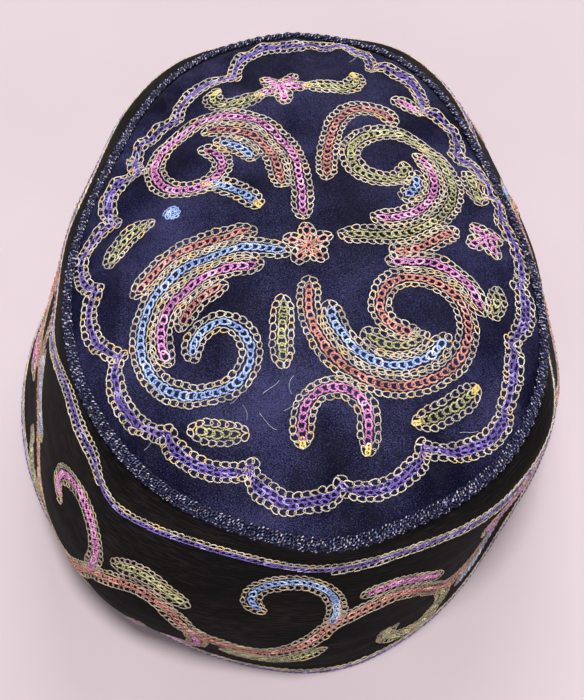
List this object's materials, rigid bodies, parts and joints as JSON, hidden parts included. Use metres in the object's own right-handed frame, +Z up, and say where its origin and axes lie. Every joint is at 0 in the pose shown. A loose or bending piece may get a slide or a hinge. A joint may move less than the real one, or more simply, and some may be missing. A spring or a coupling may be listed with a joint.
{
  "type": "embroidered smoking cap",
  "caption": "Oval cloth smoking cap with a flared side band, a domed top panel, a plaited edge braid and chain-stitch scrollwork, open below for the head.",
  "frame": {"origin": "centre of the cap's bounding box in plan, on the surface that the rim rests on", "axes": "+Z up, +Y towards the forehead, the cap's longest way, and +X towards the wearer's right"},
  "size_m": [0.174, 0.1966, 0.0962],
  "materials": {
    "band_cloth": "black cotton cloth with a faint rib, matt",
    "crown_sateen": "navy cotton sateen, soft sheen",
    "plaited_braid": "dark navy silk-faced plaited braid, satin",
    "gold_thread": "old gold twisted thread, dull metallic",
    "purple_thread": "violet twisted cotton thread, satin",
    "pink_thread": "pink twisted cotton thread, satin",
    "coral_thread": "coral twisted cotton thread, satin",
    "olive_thread": "olive twisted cotton thread, satin",
    "blue_thread": "light blue twisted cotton thread, satin"
  },
  "bodies": {
    "root": {"band": "band_cloth", "crown": "crown_sateen", "edge_braid": "plaited_braid"}
  },
  "joints": []
}
